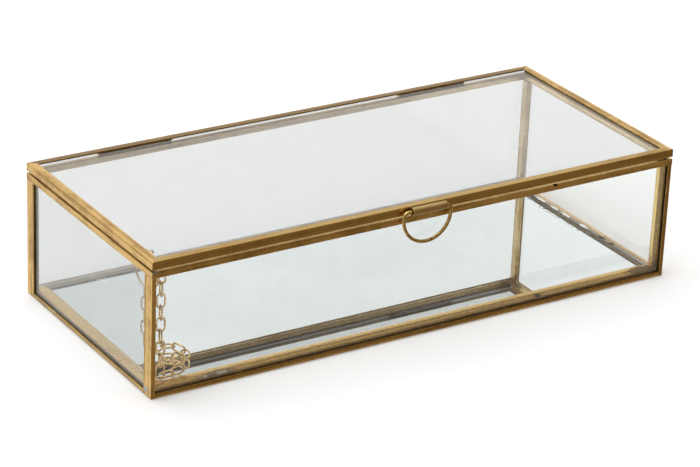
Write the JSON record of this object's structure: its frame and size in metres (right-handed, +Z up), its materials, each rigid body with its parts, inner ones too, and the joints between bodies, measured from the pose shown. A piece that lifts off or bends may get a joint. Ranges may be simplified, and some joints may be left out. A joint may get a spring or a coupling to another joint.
{
  "type": "jewelry box",
  "caption": "long low jewelry box with clear glass panes in a brass frame, mirror floor, hinged glass lid with a wire pull ring and an inner stay chain",
  "frame": {"origin": "on the ground under the middle of the box with its pull and hinges", "axes": "X along the box from left to right, -Y the front with the pull, +Y the hinged back, Z up"},
  "size_m": [0.23, 0.106, 0.0542],
  "materials": {
    "frame_brass": "aged, hand polished",
    "fittings_brass": "aged, polished",
    "chain_brass": "dull, aged",
    "clear_glass": "clear, smooth",
    "mirror": "silvered, worn at one edge"
  },
  "bodies": {
    "base": {"chain_peg_base": "chain_brass", "floor_bead_back": "frame_brass", "floor_bead_front": "frame_brass", "floor_bead_left": "frame_brass", "floor_bead_right": "frame_brass", "floor_mirror": "mirror", "hinge_base_left": "fittings_brass", "hinge_base_right": "fittings_brass", "hinge_pin_left": "fittings_brass", "hinge_pin_right": "fittings_brass", "lid_stops": "fittings_brass", "pane_back": "clear_glass", "pane_front": "clear_glass", "pane_left": "clear_glass", "pane_right": "clear_glass", "post_back_left": "frame_brass", "post_back_right": "frame_brass", "post_bead_back_left": "frame_brass", "post_bead_back_right": "frame_brass", "post_bead_front_left": "frame_brass", "post_bead_front_right": "frame_brass", "post_front_left": "frame_brass", "post_front_right": "frame_brass", "rim_back": "frame_brass", "rim_front": "frame_brass", "rim_left": "frame_brass", "rim_right": "frame_brass", "sill_back": "frame_brass", "sill_front": "frame_brass", "sill_left": "frame_brass", "sill_right": "frame_brass"},
    "lid": {"chain_peg_lid": "chain_brass", "hinge_lid_left": "fittings_brass", "hinge_lid_right": "fittings_brass", "lid_glass": "clear_glass", "lid_rail_back": "frame_brass", "lid_rail_front": "frame_brass", "lid_rail_left": "frame_brass", "lid_rail_right": "frame_brass", "pull_barrel": "fittings_brass"},
    "pull_ring": {"pull_ring": "fittings_brass"},
    "chain_base": {"chain_ring_base": "chain_brass", "chain_strand_base": "chain_brass"},
    "chain_lid": {"chain_ring_lid": "chain_brass", "chain_strand_lid": "chain_brass"},
    "chain_01": {"chain_link_01": "chain_brass", "chain_link_02": "chain_brass"},
    "chain_03": {"chain_link_03": "chain_brass"},
    "chain_04": {"chain_link_04": "chain_brass"},
    "chain_05": {"chain_link_05": "chain_brass"},
    "chain_06": {"chain_link_06": "chain_brass"},
    "chain_07": {"chain_link_07": "chain_brass"},
    "chain_08": {"chain_link_08": "chain_brass"},
    "chain_09": {"chain_link_09": "chain_brass"},
    "chain_10": {"chain_link_10": "chain_brass"},
    "chain_11": {"chain_link_11": "chain_brass", "chain_link_12": "chain_brass"}
  },
  "joints": [
    {"name": "lid_hinge", "type": "hinge", "parent": "base", "child": "lid", "pos_m": [0, 0.05178, 0.05055], "axis": [-1, 0, 0], "range_deg": [0, 100.85]},
    {"name": "pull_swing", "type": "hinge", "parent": "lid", "child": "pull_ring", "pos_m": [0, -0.05137, 0.0526], "axis": [-1, 0, 0], "range_deg": [0, 170]},
    {"name": "chain_base_swing", "type": "hinge", "parent": "base", "child": "chain_base", "pos_m": [-0.10832, -0.03416, 0.0489], "axis": [1, -0.008, 0], "range_deg": [0, 132.54]},
    {"name": "chain_lid_swing", "type": "hinge", "parent": "lid", "child": "chain_lid", "pos_m": [-0.1075, -0.04228, 0.04957], "axis": [1, 0.0073, 0], "range_deg": [0, 53.4]},
    {"name": "chain_turn_01", "type": "hinge", "parent": "chain_lid", "child": "chain_01", "pos_m": [-0.1075, -0.04228, 0.00438], "axis": [0, -1, 0], "range_deg": [-97.91, 0]},
    {"name": "chain_turn_03", "type": "hinge", "parent": "chain_01", "child": "chain_03", "pos_m": [-0.09732, -0.04228, 0.00579], "axis": [0, 0, 1], "range_deg": [-60.01, 0]},
    {"name": "chain_turn_04", "type": "hinge", "parent": "chain_03", "child": "chain_04", "pos_m": [-0.09539, -0.03892, 0.00633], "axis": [0, 0, 1], "range_deg": [-60.01, 0]},
    {"name": "chain_turn_05", "type": "hinge", "parent": "chain_04", "child": "chain_05", "pos_m": [-0.09813, -0.03416, 0.00709], "axis": [0, 0, 1], "range_deg": [-60.01, 0]},
    {"name": "chain_turn_06", "type": "hinge", "parent": "chain_05", "child": "chain_06", "pos_m": [-0.102, -0.03416, 0.00763], "axis": [0, 0, 1], "range_deg": [-60.01, 0]},
    {"name": "chain_turn_07", "type": "hinge", "parent": "chain_06", "child": "chain_07", "pos_m": [-0.10475, -0.03892, 0.00839], "axis": [0, 0, 1], "range_deg": [-60.01, 0]},
    {"name": "chain_turn_08", "type": "hinge", "parent": "chain_07", "child": "chain_08", "pos_m": [-0.10282, -0.04228, 0.00893], "axis": [0, 0, 1], "range_deg": [-60.01, 0]},
    {"name": "chain_turn_09", "type": "hinge", "parent": "chain_08", "child": "chain_09", "pos_m": [-0.09732, -0.04228, 0.00969], "axis": [0, 0, 1], "range_deg": [-60.01, 0]},
    {"name": "chain_turn_10", "type": "hinge", "parent": "chain_09", "child": "chain_10", "pos_m": [-0.09539, -0.03892, 0.01023], "axis": [0, 0, 1], "range_deg": [-60.01, 0]},
    {"name": "chain_turn_11", "type": "hinge", "parent": "chain_10", "child": "chain_11", "pos_m": [-0.09813, -0.03416, 0.01099], "axis": [0, 0, 1], "range_deg": [-60.01, 0]}
  ],
  "couplings": [
    {"joint": "chain_base_swing", "follows": "lid_hinge", "ratio": 1.3141},
    {"joint": "chain_lid_swing", "follows": "lid_hinge", "ratio": 0.52935},
    {"joint": "chain_turn_01", "follows": "lid_hinge", "ratio": -0.97076},
    {"joint": "chain_turn_03", "follows": "lid_hinge", "ratio": -0.59494},
    {"joint": "chain_turn_04", "follows": "lid_hinge", "ratio": -0.59494},
    {"joint": "chain_turn_05", "follows": "lid_hinge", "ratio": -0.59494},
    {"joint": "chain_turn_06", "follows": "lid_hinge", "ratio": -0.59494},
    {"joint": "chain_turn_07", "follows": "lid_hinge", "ratio": -0.59494},
    {"joint": "chain_turn_08", "follows": "lid_hinge", "ratio": -0.59494},
    {"joint": "chain_turn_09", "follows": "lid_hinge", "ratio": -0.59494},
    {"joint": "chain_turn_10", "follows": "lid_hinge", "ratio": -0.59494},
    {"joint": "chain_turn_11", "follows": "lid_hinge", "ratio": -0.59494}
  ]
}
